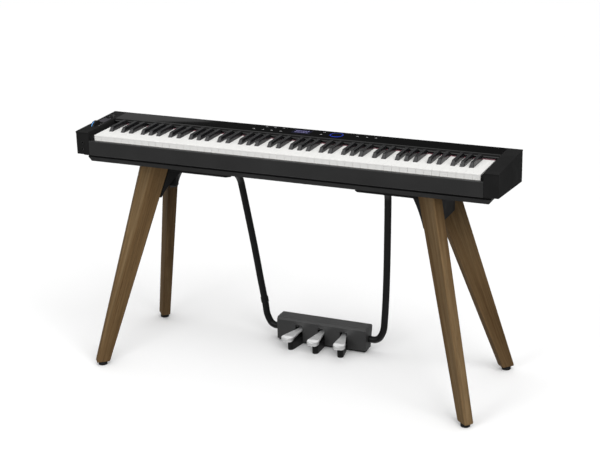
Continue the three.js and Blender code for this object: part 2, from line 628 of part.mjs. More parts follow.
function stand() {
  const group = new THREE.Group();
  for (const [side, name] of [[-1, 'left'], [1, 'right']]) {
    const place = (shape) => (side > 0 ? shape : mirrored(shape));
    add(group, `${name}_leg_bracket`, bracket(side), castBlack);
    add(group, `front_${name}_leg`, place(leg(FRONT_LEG, -LEG_TURN)), walnut);
    add(group, `rear_${name}_leg`, place(leg(REAR_LEG, LEG_TURN)), walnut);
    add(group, `front_${name}_glide`, place(glide(FRONT_LEG)), rubber);
    add(group, `rear_${name}_glide`, place(glide(REAR_LEG)), rubber);
    add(group, `${name}_arm`, arm(side), castBlack);
  }
  return group;
}

function pedals() {
  const group = new THREE.Group();
  add(group, 'pedal_housing', pedalHousing(), castBlack);
  add(group, 'pedal_base', pedalBase(), caseBlack);
  add(group, 'pedal_shaft', rod(4, [0, PEDAL_AXIS.y, PEDAL_AXIS.z], 300, 'x', 12), frameGrey);
  PEDAL_NAMES.forEach((name, i) => add(group, name, pedal(i), chrome));
  return group;
}

const digitalPiano = new THREE.Group();
digitalPiano.add(piano(), stand(), pedals());

export default digitalPiano;
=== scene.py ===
"""Looks for the digital piano on its stand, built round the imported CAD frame. Metres, +Z up."""

import math

import bmesh
import bpy
from mathutils import Matrix, Vector


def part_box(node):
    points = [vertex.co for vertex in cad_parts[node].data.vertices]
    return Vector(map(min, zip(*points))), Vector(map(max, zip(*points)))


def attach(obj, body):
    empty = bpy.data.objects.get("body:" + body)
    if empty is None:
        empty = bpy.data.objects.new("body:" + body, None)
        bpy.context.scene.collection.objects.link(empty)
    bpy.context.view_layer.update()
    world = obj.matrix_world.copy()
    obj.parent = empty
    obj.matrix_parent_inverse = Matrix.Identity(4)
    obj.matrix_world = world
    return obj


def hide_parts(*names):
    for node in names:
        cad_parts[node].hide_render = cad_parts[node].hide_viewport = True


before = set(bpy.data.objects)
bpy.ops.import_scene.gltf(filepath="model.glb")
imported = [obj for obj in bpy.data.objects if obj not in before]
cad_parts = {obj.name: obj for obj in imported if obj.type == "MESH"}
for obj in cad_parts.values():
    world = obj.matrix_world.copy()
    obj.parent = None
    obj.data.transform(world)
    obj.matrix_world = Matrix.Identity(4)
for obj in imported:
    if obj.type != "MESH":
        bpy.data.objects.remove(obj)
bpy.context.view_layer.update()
MM = 0.001


# ---------------------------------------------------------------- places
# The piano body has its own frame in mm: Y from the front of the end blocks, Z from the foot of the rail.
BODY_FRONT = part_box("left_end_block")[0].y
BODY_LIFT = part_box("front_rail")[0].z


def at(x, y, z):
    """A place in the piano body, in mm, as a point of the shared frame."""
    return Vector((x * MM, y * MM + BODY_FRONT, z * MM + BODY_LIFT))


def on_floor(x, y, z):
    """A place of the stand, in mm from the origin on the floor."""
    return Vector((x * MM, y * MM, z * MM))


def in_metres(x, y, z):
    """A place that is already measured in the shared frame."""
    return Vector((x, y, z))


def in_body(node):
    """Lowest and highest corner of a CAD node, in the piano body's mm."""
    lo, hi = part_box(node)
    shift = Vector((0, BODY_FRONT, BODY_LIFT))
    return (lo - shift) / MM, (hi - shift) / MM


PANEL_LO, PANEL_HI = in_body("touch_panel")
BLOCK_HI = in_body("right_end_block")[1]
RAIL_LO, RAIL_HI = in_body("front_rail")
TOP_FRONT = 71.5                # height of the sloping top at the front of the body
TOP_REAR = BLOCK_HI.z
DEPTH = BLOCK_HI.y


def top_at(y):
    """Height of the sloping top at this depth."""
    return TOP_FRONT + (TOP_REAR - TOP_FRONT) * y / DEPTH


def add_object(name, data):
    """A new object in the scene for this mesh, light or camera."""
    made = bpy.data.objects.new(name, data)
    bpy.context.scene.collection.objects.link(made)
    return made


# ---------------------------------------------------------------- materials
def fill_ramp(node, stops):
    """Sets a colour ramp to these (place, colour) stops."""
    elements = node.color_ramp.elements
    while len(elements) < len(stops):
        elements.new(0.5)
    for element, (place, colour) in zip(elements, stops):
        element.position = place
        element.color = (*colour, 1)


class Nodes:
    """A material with a short way to add and join nodes."""

    def __init__(self, name, **uniform):
        self.material = bpy.data.materials.new(name)
        self.material.use_nodes = True
        self.tree = self.material.node_tree
        self.shader = self.tree.nodes["Principled BSDF"]
        self.grain = None
        for socket, value in uniform.items():
            self.shader.inputs[socket.replace("_", " ")].default_value = value

    def add(self, kind, **settings):
        node = self.tree.nodes.new(kind)
        for key, value in settings.items():
            setattr(node, key, value)
        return node

    def join(self, source, target):
        self.tree.links.new(source, target)

    def coordinates(self, stretch=(1, 1, 1)):
        """Object coordinates, measured in the grain's own axes where the material has a grain."""
        place = self.add("ShaderNodeTexCoord")
        mapping = self.add("ShaderNodeMapping")
        mapping.inputs["Scale"].default_value = stretch
        if self.grain:
            mapping.vector_type = "TEXTURE"
            mapping.inputs["Scale"].default_value = [1 / share for share in stretch]
            mapping.inputs["Location"].default_value = self.grain[0]
            mapping.inputs["Rotation"].default_value = self.grain[1]
        self.join(place.outputs["Object"], mapping.inputs["Vector"])
        return mapping.outputs["Vector"]

    def noise(self, scale, detail=3.0, rough=0.5, stretch=(1, 1, 1), seed=0.0, twist=0.0):
        noise = self.add("ShaderNodeTexNoise", noise_dimensions="4D")
        noise.inputs["Scale"].default_value = scale
        noise.inputs["Detail"].default_value = detail
        noise.inputs["Roughness"].default_value = rough
        noise.inputs["W"].default_value = seed
        noise.inputs["Distortion"].default_value = twist
        self.join(self.coordinates(stretch), noise.inputs["Vector"])
        return noise.outputs["Fac"]

    def ramp(self, source, *stops):
        ramp = self.add("ShaderNodeValToRGB")
        fill_ramp(ramp, stops)
        self.join(source, ramp.inputs["Fac"])
        return ramp.outputs["Color"]

    def span(self, source, low, high, start=0.3, end=0.7):
        span = self.add("ShaderNodeMapRange")
        span.inputs["From Min"].default_value = start
        span.inputs["From Max"].default_value = end
        span.inputs["To Min"].default_value = low
        span.inputs["To Max"].default_value = high
        self.join(source, span.inputs["Value"])
        return span.outputs["Result"]

    def mix(self, share, first, second, blend="MIX"):
        mix = self.add("ShaderNodeMix", data_type="RGBA", blend_type=blend)
        for socket, value in (("Factor", share), ("A", first), ("B", second)):
            found = [s for s in mix.inputs if s.name == socket and s.enabled][0]
            if isinstance(value, bpy.types.NodeSocket):
                self.join(value, found)
            else:
                found.default_value = value
        return [s for s in mix.outputs if s.enabled][0]

    def colour(self, source):
        self.join(source, self.shader.inputs["Base Color"])

    def roughness(self, source):
        self.join(source, self.shader.inputs["Roughness"])

    def bump(self, height, depth_mm, strength=1.0):
        bump = self.add("ShaderNodeBump")
        bump.inputs["Strength"].default_value = strength
        bump.inputs["Distance"].default_value = depth_mm * MM
        self.join(height, bump.inputs["Height"])
        self.join(bump.outputs["Normal"], self.shader.inputs["Normal"])


def shade(value, tint=(1, 1, 1)):
    return tuple(value * part for part in tint)


def plastic(name, dark, light, rough, grain=1400, depth=0.012, specular=0.3, tint=(1, 1, 1), patch=9):
    """Moulded plastic: a fine grain, faint flow patches in colour and a little handling sheen."""
    m = Nodes(name, Specular_IOR_Level=specular)
    m.colour(m.ramp(m.noise(patch, 4), (0.3, shade(dark, tint)), (0.7, shade(light, tint))))
    m.roughness(m.span(m.noise(patch * 3, 5, seed=2.0), *rough))
    m.bump(m.noise(grain, 2, seed=5.0), depth)
    return m.material


def walnut(name, seed, foot, axes):
    """Oiled walnut. The grain starts at the foot and runs along the last of the axes."""
    m = Nodes(name, Specular_IOR_Level=0.15)
    m.grain = (foot, Matrix(axes).transposed().to_euler())
    bands = m.noise(34, 5, 0.55, (1, 1, 0.045), seed, 0.6)
    base = m.ramp(bands, (0.30, (0.108, 0.062, 0.026)), (0.47, (0.166, 0.102, 0.047)),
                  (0.58, (0.198, 0.129, 0.063)), (0.72, (0.240, 0.163, 0.087)))
    streak = m.noise(210, 4, 0.6, (1, 1, 0.02), seed + 3, 0.2)
    streaked = m.mix(0.5, base, m.ramp(streak, (0.36, shade(0.55)), (0.62, shade(1.10))), "MULTIPLY")
    pores = m.noise(900, 2, 0.5, (1, 1, 0.03), seed + 7)
    pored = m.mix(0.4, streaked, m.ramp(pores, (0.34, shade(0.3)), (0.43, shade(1.0))), "MULTIPLY")
    m.colour(pored)
    m.roughness(m.span(streak, 0.75, 0.60))
    m.bump(m.span(pores, 0.0, 1.0, 0.3, 0.45), 0.06, 0.6)
    return m.material


def chrome(name, rough, base=0.80, metal=1.0):
    m = Nodes(name, Metallic=metal)
    m.colour(m.ramp(m.noise(40, 4), (0.3, shade(base * 0.93)), (0.7, shade(base))))
    m.roughness(m.span(m.noise(160, 5, stretch=(1, 0.2, 1)), *rough))
    m.bump(m.noise(700, 2, stretch=(1, 0.1, 1)), 0.002)
    return m.material


def coated_steel(name, dark, light, rough):
    """Powder coat: an orange-peel ripple with a finer speckle."""
    m = Nodes(name, Specular_IOR_Level=0.22)
    m.colour(m.ramp(m.noise(300, 4), (0.3, shade(dark)), (0.7, shade(light))))
    m.roughness(m.span(m.noise(60, 4, seed=1.0), *rough))
    m.bump(m.noise(650, 3, seed=4.0), 0.02)
    return m.material


def felt(name, dark, light):
    m = Nodes(name, Specular_IOR_Level=0.1, Sheen_Weight=0.6, Sheen_Roughness=0.5)
    m.colour(m.ramp(m.noise(900, 5, 0.7), (0.3, dark), (0.7, light)))
    m.roughness(m.span(m.noise(700, 3, seed=1.0), 0.9, 1.0))
    m.bump(m.noise(1700, 4, 0.7, seed=3.0), 0.15)
    return m.material


def glossy(name, dark, light, rough, specular=0.5, tint=(1, 1, 1)):
    """Polished plastic with faint smears and a hint of dust in its sheen."""
    m = Nodes(name, Specular_IOR_Level=specular)
    m.colour(m.ramp(m.noise(6, 3), (0.3, shade(dark, tint)), (0.7, shade(light, tint))))
    m.roughness(m.span(m.noise(14, 5, 0.6, (1, 3, 1), 2.0), *rough))
    m.bump(m.noise(5, 2, seed=8.0), 0.02)
    return m.material


def ivory(name):
    """White key plastic with the fine streaks of ivory along the key."""
    m = Nodes(name, Specular_IOR_Level=0.45)
    streak = m.noise(420, 4, 0.6, (1, 0.05, 1))
    m.colour(m.ramp(streak, (0.3, (0.80, 0.795, 0.775)), (0.7, (0.86, 0.855, 0.835))))
    m.roughness(m.span(m.noise(90, 4, seed=1.0), 0.30, 0.44))
    m.bump(streak, 0.012)
    return m.material


def ebony(name):
    """Black key plastic with a matt, streaked ebony finish."""
    m = Nodes(name, Specular_IOR_Level=0.40)
    streak = m.noise(520, 4, 0.65, (1, 0.04, 1))
    m.colour(m.ramp(streak, (0.3, (0.006, 0.006, 0.007)), (0.7, (0.015, 0.015, 0.016))))
    m.roughness(m.span(m.noise(120, 4, seed=1.0), 0.14, 0.20))
    m.bump(streak, 0.02)
    return m.material


def circuit(name):
    """Green solder mask with lighter tracks below it."""
    m = Nodes(name, Specular_IOR_Level=0.5)
    tracks = m.add("ShaderNodeTexBrick", offset=0.37)
    sizes = {"Scale": 220, "Mortar Size": 0.03, "Brick Width": 1.4, "Row Height": 0.22}
    for socket, value in sizes.items():
        tracks.inputs[socket].default_value = value
    tracks.inputs["Color1"].default_value = (0.010, 0.075, 0.030, 1)
    tracks.inputs["Color2"].default_value = (0.008, 0.055, 0.022, 1)
    tracks.inputs["Mortar"].default_value = (0.05, 0.20, 0.09, 1)
    m.join(m.coordinates(), tracks.inputs["Vector"])
    m.colour(tracks.outputs["Color"])
    m.roughness(m.span(m.noise(80), 0.25, 0.45))
    m.bump(tracks.outputs["Fac"], 0.03)
    return m.material


def lit(name, colour, strength, flicker=0.2):
    """A lamp behind a diffuser: glows a little unevenly."""
    m = Nodes(name, Roughness=0.4, Emission_Strength=strength)
    pattern = m.noise(900, 2)
    faint = tuple(c * (1 - flicker) for c in colour)
    glow = m.ramp(pattern, (0.3, faint), (0.7, colour))
    m.colour(m.ramp(pattern, (0.3, shade(0.5, colour)), (0.7, shade(0.8, colour))))
    m.join(glow, m.shader.inputs["Emission Color"])
    return m.material


M = {
    "case": plastic("case_black", 0.0085, 0.0118, (0.42, 0.54), specular=0.24),
    "block": plastic("satin_black", 0.0140, 0.0185, (0.44, 0.54), specular=0.015),
    "plate": plastic("control_plate", 0.022, 0.029, (0.30, 0.40), specular=0.35, tint=(1.0, 0.86, 1.15)),
    "rail": plastic("rail_black", 0.0215, 0.0270, (0.40, 0.50), specular=0.28),
    "panel": glossy("gloss_black", 0.0030, 0.0042, (0.015, 0.03), 0.27),
    "white": ivory("key_white"),
    "black": ebony("key_black"),
    "chrome": chrome("chrome", (0.05, 0.09), 0.96, 0.58),
    "steel": chrome("bright_steel", (0.22, 0.35), 0.6),
    "arm": coated_steel("black_steel", 0.0065, 0.0095, (0.36, 0.48)),
    "cast": plastic("cast_black", 0.0070, 0.0105, (0.50, 0.62), 900, 0.03, 0.2),
    "box": plastic("pedal_box_black", 0.0330, 0.0420, (0.38, 0.46), 900, 0.03, 0.55),
    "felt": felt("red_felt", (0.15, 0.003, 0.026), (0.27, 0.007, 0.050)),
    "frame": plastic("frame_grey", 0.085, 0.11, (0.5, 0.62), 600, 0.03, 0.4),
    "circuit": circuit("circuit_board"),
    "speaker": plastic("speaker_black", 0.016, 0.026, (0.6, 0.75), 500, 0.05, 0.3),
    "glass": glossy("display_glass", 0.010, 0.016, (0.03, 0.06), 0.4, (0.6, 0.62, 1.6)),
    "ring": lit("blue_light", (0.01, 0.04, 0.50), 1.0),
    "cyan": lit("cyan_light", (0.10, 0.42, 1.0), 1.1),
    "content": lit("display_light", (0.13, 0.12, 0.27), 0.5),
    "print": plastic("pale_print", 0.62, 0.72, (0.45, 0.6), 800, 0.002, 0.3),
    "rubber": plastic("rubber_foot", 0.012, 0.020, (0.75, 0.9), 400, 0.06, 0.2),
}


# ---------------------------------------------------------------- mesh builders
def loft(rings, to=at, bm=None):
    """Rings of equally many points, joined by quads and closed at both ends."""
    bm = bm or bmesh.new()
    made = [[bm.verts.new(to(*point)) for point in ring] for ring in rings]
    for first, second in zip(made, made[1:]):
        for i in range(len(first)):
            j = (i + 1) % len(first)
            bm.faces.new((first[i], first[j], second[j], second[i]))
    bm.faces.new(made[0][::-1])
    bm.faces.new(made[-1])
    return bm


def along_x(outline, x0, x1, to=at, bm=None):
    return loft([[(x, y, z) for y, z in outline] for x in (x0, x1)], to, bm)


def along_z(outline, z0, z1, to=at, bm=None):
    return loft([[(x, y, z) for x, y in outline] for z in (z0, z1)], to, bm)


def brick(x, y, z, to=at, bm=None):
    return along_z([(x[0], y[0]), (x[1], y[0]), (x[1], y[1]), (x[0], y[1])], z[0], z[1], to, bm)


def around(centre, axis, radius, along, angle):
    """The point at this radius and angle about an axis through the centre, and this far along it."""
    x, y, z = centre
    u, v = radius * math.cos(angle), radius * math.sin(angle)
    if axis == "x":
        return x + along, y + u, z + v
    if axis == "y":
        return x + u, y + along, z + v
    return x + u, y + v, z + along


def turned(profile, centre, axis, sides=40, to=at, bm=None):
    """A lathe form: the profile gives (radius, place along the axis) and closes at both ends."""
    angles = [2 * math.pi * i / sides for i in range(sides)]
    rings = [[around(centre, axis, radius, along, a) for a in angles] for radius, along in profile]
    return loft(rings, to, bm)


def hoop(outer, inner, low, high, centre, axis, sides=48, to=at, bm=None):
    """A ring with a softened rectangular section."""
    bm = bm or bmesh.new()
    r = min(outer - inner, high - low) * 0.25
    section = [(outer - r, low), (outer, low + r), (outer, high - r), (outer - r, high),
               (inner + r, high), (inner, high - r), (inner, low + r), (inner + r, low)]
    grid = []
    for i in range(sides):
        a = 2 * math.pi * i / sides
        row = [around(centre, axis, radius, along, a) for radius, along in section]
        grid.append([bm.verts.new(to(*point)) for point in row])
    for i in range(sides):
        for k in range(len(section)):
            a, b = grid[i], grid[(i + 1) % sides]
            m = (k + 1) % len(section)
            bm.faces.new((a[k], a[m], b[m], b[k]))
    return bm


def rounded(x0, x1, y0, y1, radius, steps=5):
    """The outline of a rectangle with rounded corners."""
    points = []
    for cx, cy, start in ((x1 - radius, y1 - radius, 0), (x0 + radius, y1 - radius, 90),
                          (x0 + radius, y0 + radius, 180), (x1 - radius, y0 + radius, 270)):
        for i in range(steps + 1):
            a = math.radians(start + 90 * i / steps)
            points.append((cx + radius * math.cos(a), cy + radius * math.sin(a)))
    return points


def curve(start, bend, end, steps=12):
    """Points of a quadratic curve, without its first one."""
    points = []
    for i in range(1, steps + 1):
        t = i / steps
        points.append(tuple((1 - t) ** 2 * a + 2 * t * (1 - t) * b + t * t * c
                            for a, b, c in zip(start, bend, end)))
    return points


def cad_copy(node):
    """The CAD node's own shape as a fresh mesh with whole faces, ready to be softened."""
    bm = bmesh.new()
    bm.from_mesh(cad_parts[node].data)
    bmesh.ops.remove_doubles(bm, verts=bm.verts, dist=2e-6)
    bmesh.ops.dissolve_limit(bm, angle_limit=math.radians(0.8), verts=bm.verts, edges=bm.edges)
    return bm


def carve(bm, cutter):
    """Takes the cutter's volume out of the form."""
    objects = []
    for name, part in (("form", bm), ("cutter", cutter)):
        bmesh.ops.recalc_face_normals(part, faces=part.faces)
        mesh = bpy.data.meshes.new(name)
        part.to_mesh(mesh)
        part.free()
        objects.append(add_object(name, mesh))
    form, tool = objects
    cut = form.modifiers.new("cut", "BOOLEAN")
    cut.operation, cut.solver, cut.object = "DIFFERENCE", "EXACT", tool
    result = bmesh.new()
    result.from_object(form, bpy.context.evaluated_depsgraph_get())
    for item in objects:
        bpy.data.meshes.remove(item.data)
    bmesh.ops.remove_doubles(result, verts=result.verts, dist=1e-6)
    return result


def bevel_where(bm, chosen, width, segments=3):
    """Rounds the edges for which chosen(edge) is true. The width is in mm."""
    edges = [e for e in bm.edges if chosen(e)]
    bmesh.ops.bevel(bm, geom=edges, offset=width * MM, segments=segments, profile=0.5,
                    affect="EDGES", clamp_overlap=True)


def piece(name, bm, material, body="piano", stands_for=(), soft=0.0, segments=2, angle=32):
    """Makes the mesh a named piece on its body, with softened edges where a width in mm is given."""
    bmesh.ops.recalc_face_normals(bm, faces=bm.faces)
    mesh = bpy.data.meshes.new(name)
    bm.to_mesh(mesh)
    bm.free()
    mesh.materials.append(material)
    mesh.shade_smooth()
    made = add_object(name, mesh)
    if soft:
        bevel = made.modifiers.new("soft_edges", "BEVEL")
        bevel.width, bevel.segments = soft * MM, segments
        bevel.limit_method, bevel.angle_limit = "ANGLE", math.radians(angle)
        bevel.miter_outer = "MITER_ARC"
    else:
        mesh.set_sharp_from_angle(angle=math.radians(angle))
    normals = made.modifiers.new("even_normals", "WEIGHTED_NORMAL")
    normals.keep_sharp = True
    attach(made, body)
    if stands_for:
        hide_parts(*stands_for)
    return made


def dress(node, material, soft=0.0):
    """Gives a CAD node that stays its finish and softened edges."""
    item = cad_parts[node]
    item.data.materials.clear()
    item.data.materials.append(material)
    if soft:
        weld = item.modifiers.new("weld", "WELD")
        weld.merge_threshold = 2e-6
        bevel = item.modifiers.new("soft_edges", "BEVEL")
        bevel.width, bevel.segments = soft * MM, 2
        bevel.limit_method, bevel.angle_limit = "ANGLE", math.radians(32)
        item.modifiers.new("even_normals", "WEIGHTED_NORMAL")
    return item


# ---------------------------------------------------------------- keyboard
NOTE_NAMES = ("c", "c_sharp", "d", "d_sharp", "e", "f", "f_sharp", "g", "g_sharp", "a", "a_sharp", "b")
# How far each black key stands beside the line between its two white keys, by its place in the octave.
SHARP_SHIFT = {1: -2.6, 3: 2.6, 6: -3.7, 8: 0.0, 10: 3.7}
SECTIONS = (("a0_b1", 0, 14), ("c2_b3", 15, 38), ("c5_b6", 51, 74), ("c7_c8", 75, 87))
KEY_COUNT = 88
WHITE_COUNT = 52
KEY_GAP = 0.45
NOTCH = 7.6                     # half width of the notch beside a black key
PLATE = 3.6                     # thickness of a white key's top plate
FIRST_LO, FIRST_HI = in_body("white_keys_a0_b1")
LAST_HI = in_body("white_keys_c7_c8")[1]
KEY_LEFT = FIRST_LO.x - KEY_GAP
PITCH = (LAST_HI.x - FIRST_LO.x + 2 * KEY_GAP) / WHITE_COUNT
KEY_TOP = FIRST_HI.z
KEY_FRONT = FIRST_LO.y
LIP_FOOT = FIRST_LO.z
KEY_BACK = in_body("key_felt")[0].y - 0.8
SHARP_FOOT, SHARP_CROWN = 6.85, 4.9   # half widths of a black key, low down and at its top
SHARP_FRONT = in_body("black_keys_c2_b3")[0].y
SHARP_BACK = 156
SHARP_CREST = 74.2              # top of the black keys at their front
SHARP_REAR = 75.2               # and at their rear
SHARP_RAKE = 11                 # how far their front leans back


def pitch_class(key):
    """Place in the octave, 0 for C. Key 0 is the lowest A."""
    return (key + 9) % 12


def is_sharp(key):
    return 0 <= key < KEY_COUNT and pitch_class(key) in SHARP_SHIFT


def note(key):
    name, octave = NOTE_NAMES[pitch_class(key)], (key + 9) // 12
    return f"{name}_{octave}" if is_sharp(key) else f"{name}{octave}"


def key_edge(index):
    return KEY_LEFT + PITCH * index


def white_index(key):
    return sum(not is_sharp(other) for other in range(key))


def sharp_x(key):
    return key_edge(white_index(key)) + SHARP_SHIFT[pitch_class(key)]


def key_body(key):
    colour = "black" if is_sharp(key) else "white"
    for section, first, last in SECTIONS:
        if first <= key <= last:
            return f"{colour}_keys_{section}"
    return f"key_{note(key)}"


def white_outline(key, side=0.0, front=0.0):
    """The plan of a white key, drawn in by side and front."""
    index, gap = white_index(key), KEY_GAP - 0.25
    left, right = key_edge(index) + gap + side, key_edge(index + 1) - gap - side
    left2 = sharp_x(key - 1) + NOTCH + side if is_sharp(key - 1) else left
    right2 = sharp_x(key + 1) - NOTCH - side if is_sharp(key + 1) else right
    start, notch = KEY_FRONT + front, SHARP_FRONT - 2.2 - side
    points = [(left, start), (right, start), (right, notch), (right2, notch),
              (right2, KEY_BACK), (left2, KEY_BACK), (left2, notch), (left, notch)]
    return [p for i, p in enumerate(points) if p != points[i - 1]]


def white_key(key):
    """A top plate that overhangs the front a little, the key below it, its lip and its tail."""
    full, drawn_in = white_outline(key), white_outline(key, 0.15, 0.9)
    rings = ((full, KEY_TOP), (full, KEY_TOP - PLATE), (drawn_in, KEY_TOP - PLATE - 0.5), (drawn_in, 50))
    bm = loft([[(x, y, z) for x, y in outline] for outline, z in rings])
    top = at(0, 0, KEY_TOP).z
    step = at(0, 0, KEY_TOP - PLATE).z
    front = at(0, KEY_FRONT, 0).y

    def soft(edge):
        a, b = (v.co for v in edge.verts)
        rim = abs(a.z - top) < 1e-7 and abs(b.z - top) < 1e-7
        corner = abs(a.y - front) < 1e-7 and abs(b.y - front) < 1e-7 and min(a.z, b.z) > step - 1e-7
        return (rim or corner) and not (abs(a.z - step) < 1e-7 and abs(b.z - step) < 1e-7)

    bevel_where(bm, soft, 0.45)
    xs = [x for x, y in drawn_in]
    back = [x for x, y in drawn_in if y == KEY_BACK]
    brick((min(xs), max(xs)), (KEY_FRONT + 0.9, KEY_FRONT + 3), (LIP_FOOT, 50.2), bm=bm)
    brick((min(back) + 1, max(back) - 1), (150, 218), (44, 54), bm=bm)
    return bm


def black_key(key):
    """A cap with a straight skirt, sloping sides and a raked, rounded front, on its web and tail."""
    x = sharp_x(key)
    levels = ((SHARP_CROWN, SHARP_FRONT + SHARP_RAKE, SHARP_CREST, SHARP_REAR),
              (SHARP_FOOT, SHARP_FRONT, KEY_TOP, KEY_TOP), (SHARP_FOOT, SHARP_FRONT, 54, 54))
    rings = []
    for half, front, z, rear in levels:
        rings.append([(x - half, front, z), (x + half, front, z),
                      (x + half, SHARP_BACK, rear), (x - half, SHARP_BACK, rear)])
    bm = loft(rings)
    crown, rear = at(0, 0, KEY_TOP + 4).z, at(0, SHARP_BACK, 0).y

    def soft(edge):
        a, b = (v.co for v in edge.verts)
        rim = min(a.z, b.z) > crown
        upright = abs(a.y - b.y) < 0.012 and abs(a.z - b.z) > 1e-3 and max(a.y, b.y) < rear - 1e-4
        return rim or upright

    bevel_where(bm, soft, 1.3, 4)
    brick((x - 4.5, x + 4.5), (140, SHARP_BACK), (30, 55), bm=bm)
    brick((x - 4.5, x + 4.5), (150, 200), (30, 41), bm=bm)
    return bm


def make_keyboard():
    for key in range(KEY_COUNT):
        colour, form = ("black", black_key) if is_sharp(key) else ("white", white_key)
        body = key_body(key)
        piece(f"{colour}_key_{note(key)}", form(key), M[colour], body, (body,), angle=40)
    lo, hi = in_body("key_felt")
    strip = brick((lo.x, hi.x), (lo.y, hi.y), (lo.z, hi.z))
    bmesh.ops.subdivide_edges(strip, edges=[e for e in strip.edges if e.calc_length() > 0.5], cuts=160)
    piece("key_felt_strip", strip, M["felt"], stands_for=("key_felt",), soft=0.5)


# ---------------------------------------------------------------- piano body
DISPLAY_LO, DISPLAY_HI = in_body("display_window")
RING_LO, RING_HI = in_body("touch_ring")
RING_X, RING_Y = (RING_LO.x + RING_HI.x) / 2, (RING_LO.y + RING_HI.y) / 2
RING_RADIUS = (RING_HI.x - RING_LO.x) / 2 - 1
SEAM = 0.4


def panel_section():
    """Side profile of the glossy cover: a rounded fall behind the keys, a level top, a short skirt."""
    skin, front, fall, lip = 2.5, PANEL_LO.y, PANEL_LO.y + 14, PANEL_LO.z
    shoulder = top_at(fall)
    outline = [(front, lip)]
    outline += curve((front, lip), (front + 0.8, shoulder - 0.6), (fall, shoulder), 16)
    outline.append((DEPTH - 3, top_at(DEPTH - 3)))
    outline += curve(outline[-1], (DEPTH, TOP_REAR), (DEPTH, TOP_REAR - 3), 6)
    outline += [(DEPTH, 70.6), (DEPTH - skin, 70.6), (DEPTH - skin, TOP_REAR - 3), (fall, shoulder - skin)]
    outline += curve((fall, shoulder - skin), (front + 3.4, shoulder - skin - 1), (front + 2.6, lip), 12)
    return outline


def make_panel():
    """The glossy cover with its display opening, and the lit ring in its groove."""
    cover = along_x(panel_section(), PANEL_LO.x, PANEL_HI.x)
    opening = rounded(DISPLAY_LO.x - SEAM, DISPLAY_HI.x + SEAM,
                      DISPLAY_LO.y - SEAM, DISPLAY_HI.y + SEAM, 1.6)
    cutter = along_z(opening, 60, 90)
    middle = (RING_X, RING_Y, top_at(RING_Y))
    hoop(RING_RADIUS + 1.0, RING_RADIUS - 1.0, -1.2, 6, middle, "z", 64, bm=cutter)
    piece("touch_cover", carve(cover, cutter), M["panel"], stands_for=("touch_panel",),
          soft=0.25, angle=50)
    glow = hoop(RING_RADIUS + 0.65, RING_RADIUS - 0.65, -0.9, 0.15, middle, "z", 64)
    piece("touch_ring_glow", glow, M["ring"], stands_for=("touch_ring",))


def on_top(outline, height):
    """The rings of a thin plate with this outline, on the sloping top."""
    return [[(x, y, top_at(y) + z) for x, y in outline] for z in (-0.15, height)]


def make_display():
    """The window, and plain blocks in two rows where its text would be."""
    outline = rounded(DISPLAY_LO.x, DISPLAY_HI.x, DISPLAY_LO.y, DISPLAY_HI.y, 1.4)
    window = loft([[(x, y, 70.6) for x, y in outline], [(x, y, top_at(y)) for x, y in outline]])
    brick((DISPLAY_LO.x + 4, DISPLAY_HI.x - 4), (DISPLAY_LO.y + 4, DISPLAY_HI.y - 4), (66, 71), bm=window)
    piece("display_glass", window, M["glass"], stands_for=("display_window",), soft=0.2)
    cells = bmesh.new()
    rows = ((216, 9.0, 2.2, (5.0, 6.0, 4.0, 6.5, 5.5)), (203, 6.0, 1.8, (7, 9, 5, 8)))
    for y, tall, gap, widths in rows:
        x = DISPLAY_LO.x + 7
        for width in widths * 2:
            if x + width > DISPLAY_HI.x - 6:
                break
            loft(on_top(rounded(x, x + width, y - tall / 2, y + tall / 2, 0.7, 2), 0.06), bm=cells)
            x += width + gap
    piece("display_cells", cells, M["content"])


# Generic dashes where the touch fields are, as (x, y) on the cover.
TOUCH_MARKS = ((-128, 227), (-100, 227), (-71, 227), (-157, 195), (-127, 195), (-98, 195), (-68, 195),
               (63.5, 224), (62, 200), (173, 215), (203, 215), (232, 215))


def make_touch_marks():
    marks = bmesh.new()
    for x, y in TOUCH_MARKS:
        loft(on_top(rounded(x - 3.8, x + 3.8, y - 0.7, y + 0.7, 0.65, 3), 0.05), bm=marks)
        loft(on_top(rounded(x - 1.1, x + 1.1, y + 2.6, y + 3.5, 0.4, 2), 0.05), bm=marks)
    piece("touch_marks", marks, M["print"])


def make_blocks():
    for side, soft in (("left", 0.7), ("right", 0.8)):
        node = f"{side}_end_block"
        piece(f"{side}_cheek", cad_copy(node), M["block"], stands_for=(node,), soft=soft)


def make_rail():
    """The folded strip in front of the keys, open to the rear."""
    outline = [(0, 0.8), (0, RAIL_HI.z - 2)] + curve((0, RAIL_HI.z - 2), (0, RAIL_HI.z), (2, RAIL_HI.z), 6)
    depth, skin = RAIL_HI.y, 2.5
    outline += [(depth, RAIL_HI.z), (depth, RAIL_HI.z - skin), (3, RAIL_HI.z - skin), (3, skin),
                (depth, skin), (depth, 0), (0.8, 0)]
    piece("key_rail", along_x(outline, RAIL_LO.x, RAIL_HI.x), M["rail"],
          stands_for=("front_rail",), soft=0.3, angle=40)


# Screws under the tray, on each side, as (distance from the middle, depth), and the profile of their heads.
CASE_SCREWS = ((80, 30), (80, 215), (330, 215), (600, 40), (600, 215))
CASE_UNDERSIDE = -26.6
SCREW_HEAD = ((0.3, 0), (3.6, 0), (3.9, -0.4), (3.4, -1.1), (1.6, -1.2), (1.4, -0.4), (0.2, -0.4))


def make_case():
    piece("case_tray", cad_copy("bottom_case"), M["case"],
          stands_for=("bottom_case",), soft=0.6)
    for side, label in ((-1, "left"), (1, "right")):
        for i, (x, y) in enumerate(CASE_SCREWS):
            head = turned(SCREW_HEAD, (side * x, y, CASE_UNDERSIDE), "z", 24)
            piece(f"{label}_case_screw_{i + 1}", head, M["steel"], angle=40)


